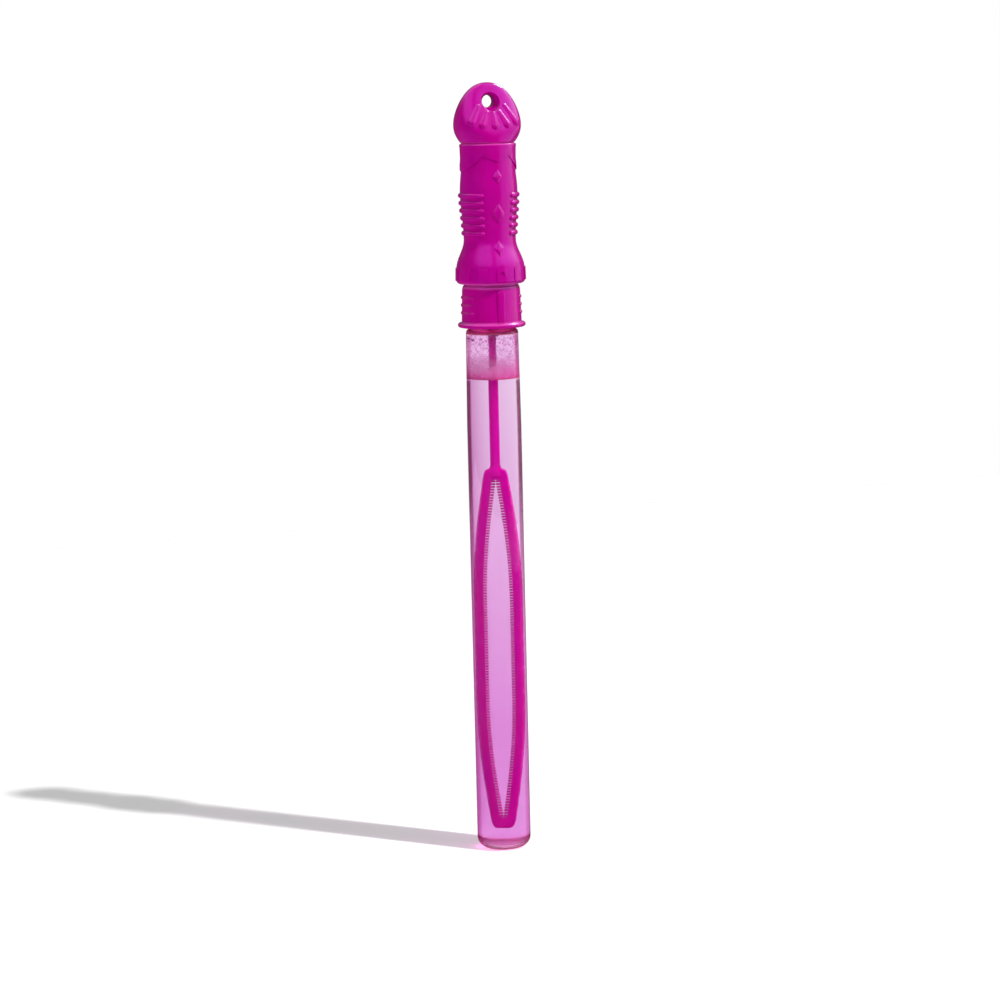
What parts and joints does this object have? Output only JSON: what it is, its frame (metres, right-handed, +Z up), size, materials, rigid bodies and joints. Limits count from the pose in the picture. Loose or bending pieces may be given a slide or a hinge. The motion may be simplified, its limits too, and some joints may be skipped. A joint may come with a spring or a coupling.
{
  "type": "bubble wand",
  "caption": "Bubble wand: moulded grip and screw collar carry a toothed dipping loop on a stem, standing in a slim clear tube of bubble solution.",
  "frame": {"origin": "centre of the tube's standing ring, on the floor", "axes": "+Z up the tube's axis to the hang hole; -Y is the side that the hang hole's mouth and the diamonds face"},
  "size_m": [0.0338, 0.0336, 0.3707],
  "materials": {
    "clear_tube": "clear, faint pink tint",
    "solution": "clear pink liquid",
    "froth": "fine foam",
    "seal": "soft foamed sheet",
    "collar_plastic": "glossy magenta",
    "wand_plastic": "glossy magenta",
    "grip_plastic": "glossy magenta"
  },
  "bodies": {
    "tube": {"tube": "clear_tube"},
    "filling": {"bubble_solution": "solution", "froth": "froth"},
    "seal": {"seal_washer": "seal"},
    "closure": {"screw_collar": "collar_plastic", "wand": "wand_plastic", "grip": "grip_plastic"}
  },
  "joints": [
    {"name": "cap_turn", "type": "hinge", "parent": "tube", "child": "filling", "pos_m": [0, 0, 0], "axis": [0, 0, 1], "range_deg": [0, 450]},
    {"name": "wand_lift", "type": "slide", "parent": "filling", "child": "seal", "axis": [0, 0, 1], "range_m": [0, 0.27], "deforming": ["bubble_solution", "froth"]},
    {"name": "cap_rise", "type": "slide", "parent": "seal", "child": "closure", "axis": [0, 0, 1], "range_m": [0, 0.0038]}
  ],
  "couplings": [
    {"joint": "cap_rise", "follows": "cap_turn", "m_per_rad": 0.00047746}
  ]
}
